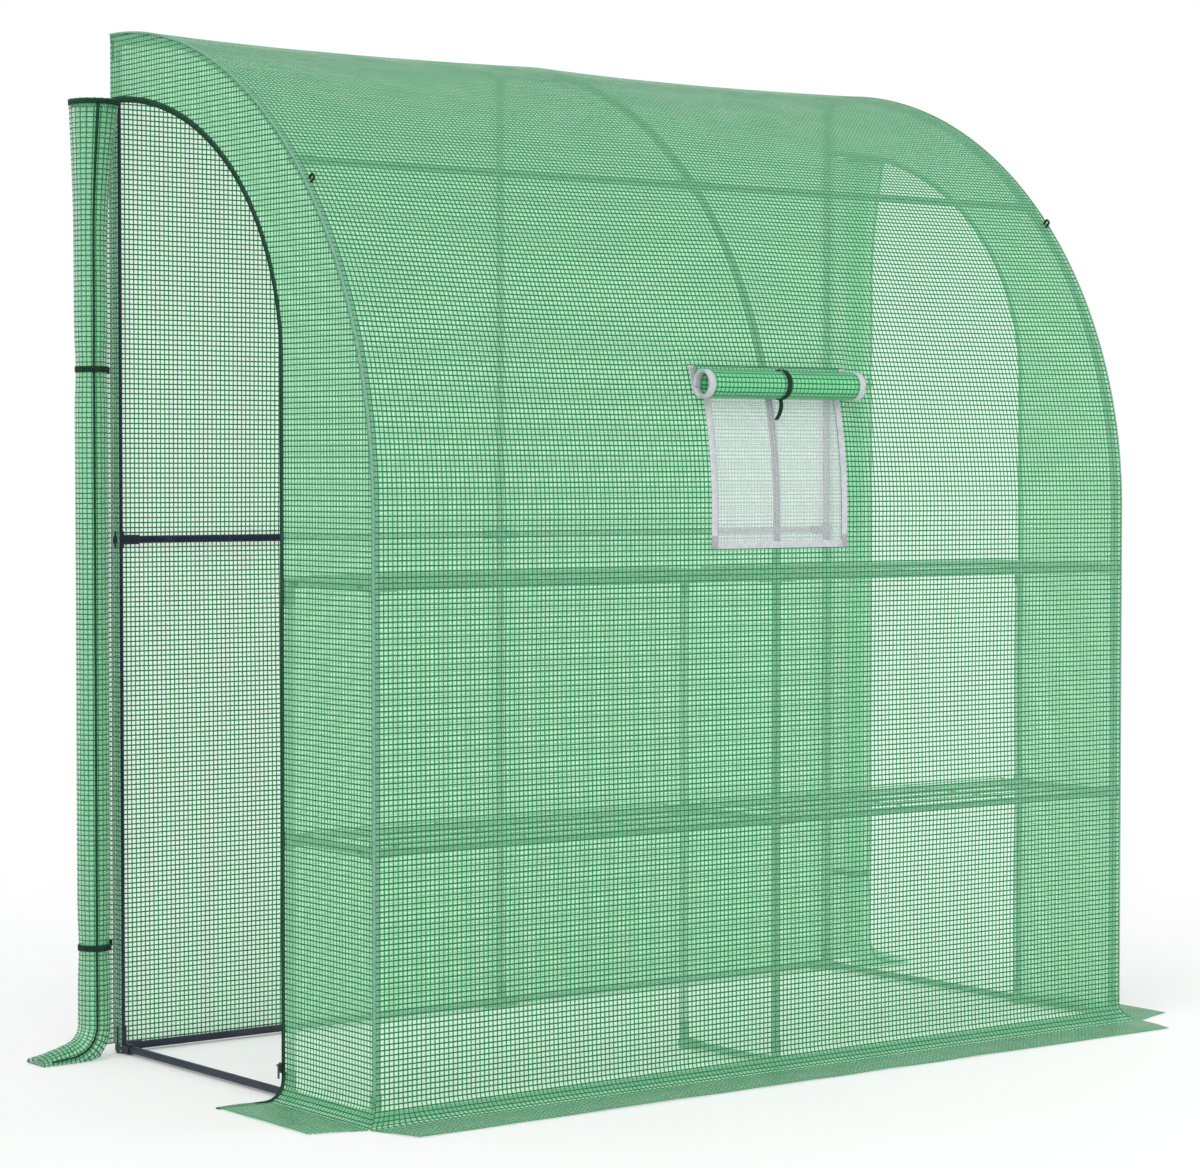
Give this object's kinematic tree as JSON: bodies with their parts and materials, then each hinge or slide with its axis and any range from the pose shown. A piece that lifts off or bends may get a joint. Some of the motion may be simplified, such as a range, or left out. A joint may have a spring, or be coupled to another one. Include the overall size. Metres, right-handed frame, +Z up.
{
  "type": "lean-to tunnel greenhouse",
  "caption": "Walk-in lean-to tunnel greenhouse: tube frame under green-gridded clear film, arched zip doorways with rolled doors, roll-up netted window and shelves along the front wall.",
  "frame": {"origin": "centre of the ground footprint, skirt and door tails included", "axes": "+X along the length, +Y from the front wall to the back wall, +Z up; the front faces -Y"},
  "size_m": [2.42, 1.15, 2.15],
  "materials": {
    "tube_steel": "satin dark blue-grey powder coat on steel tube",
    "moulded_plastic": "matt dark blue-grey moulding",
    "shelf_wire": "coated wire",
    "grid_film": "clear film with a green thread grid",
    "flap_film": "clear film with a green thread grid, rolled",
    "screen_net": "fine white insect net",
    "hook_loop": "light grey hook-and-loop tape",
    "binding": "dark green woven tape with zip coil",
    "zip_hardware": "dark moulded zip slider",
    "strap": "dark green woven strap"
  },
  "bodies": {
    "frame": {"back_cover": "grid_film", "back_post_left": "tube_steel", "back_post_mid": "tube_steel", "back_post_right": "tube_steel", "back_rail_connectors": "moulded_plastic", "back_rail_left": "tube_steel", "back_rail_right": "tube_steel", "base_back_connectors": "moulded_plastic", "base_front_connectors": "moulded_plastic", "base_link_mid": "tube_steel", "base_rail_back_left": "tube_steel", "base_rail_back_right": "tube_steel", "base_rail_end_left": "tube_steel", "base_rail_end_right": "tube_steel", "base_rail_front_left": "tube_steel", "base_rail_front_right": "tube_steel", "base_shelf_connectors": "moulded_plastic", "end_cover_left": "grid_film", "end_cover_right": "grid_film", "front_cover": "grid_film", "front_post_left": "tube_steel", "front_post_mid": "tube_steel", "front_post_right": "tube_steel", "guy_loops": "strap", "purlin_connectors": "moulded_plastic", "purlins": "tube_steel", "ridge_connectors": "moulded_plastic", "ridge_rails": "tube_steel", "roof_arch_left": "tube_steel", "roof_arch_mid": "tube_steel", "roof_arch_right": "tube_steel", "shelf_front_connectors": "moulded_plastic", "shelf_front_rails_lower": "tube_steel", "shelf_front_rails_upper": "tube_steel", "shelf_post_left": "tube_steel", "shelf_post_mid": "tube_steel", "shelf_post_right": "tube_steel", "shelf_rear_connectors": "moulded_plastic", "shelf_rear_rails_lower": "tube_steel", "shelf_rear_rails_upper": "tube_steel", "shelf_side_rails_lower": "tube_steel", "shelf_side_rails_upper": "tube_steel", "window_border": "hook_loop", "window_screen": "screen_net", "wire_shelf_lower_left": "shelf_wire", "wire_shelf_lower_right": "shelf_wire", "wire_shelf_upper_left": "shelf_wire", "wire_shelf_upper_right": "shelf_wire", "zip_track_left": "binding", "zip_track_right": "binding"},
    "door_left": {"door_roll_left": "grid_film", "door_ties_left": "strap"},
    "door_right": {"door_roll_right": "grid_film", "door_ties_right": "strap"},
    "window_flap": {"window_roll": "flap_film", "window_strap": "strap"},
    "zip_slider_left": {"zip_slider_left": "zip_hardware"},
    "zip_slider_right": {"zip_slider_right": "zip_hardware"},
    "zip_pull_left": {"zip_pull_left": "zip_hardware"},
    "zip_pull_right": {"zip_pull_right": "zip_hardware"}
  },
  "joints": [
    {"name": "left_door_slide", "type": "slide", "parent": "frame", "child": "door_left", "axis": [0, -1, 0], "range_m": [0, 0.55]},
    {"name": "right_door_slide", "type": "slide", "parent": "frame", "child": "door_right", "axis": [0, -1, 0], "range_m": [0, 0.55]},
    {"name": "window_flap_roll", "type": "hinge", "parent": "frame", "child": "window_flap", "pos_m": [0, 0.575, 1.15], "axis": [1, 0, 0], "range_deg": [0, 16.8]},
    {"name": "left_zip_slide", "type": "slide", "parent": "frame", "child": "zip_slider_left", "axis": [0, 0, 1], "range_m": [0, 1.33]},
    {"name": "right_zip_slide", "type": "slide", "parent": "frame", "child": "zip_slider_right", "axis": [0, 0, 1], "range_m": [0, 1.33]},
    {"name": "left_zip_pull_turn", "type": "hinge", "parent": "zip_slider_left", "child": "zip_pull_left", "pos_m": [-1.0095, -0.099, 0.069], "axis": [0, 1, 0], "range_deg": [0, 160]},
    {"name": "right_zip_pull_turn", "type": "hinge", "parent": "zip_slider_right", "child": "zip_pull_right", "pos_m": [1.0095, -0.099, 0.069], "axis": [0, -1, 0], "range_deg": [0, 160]}
  ]
}
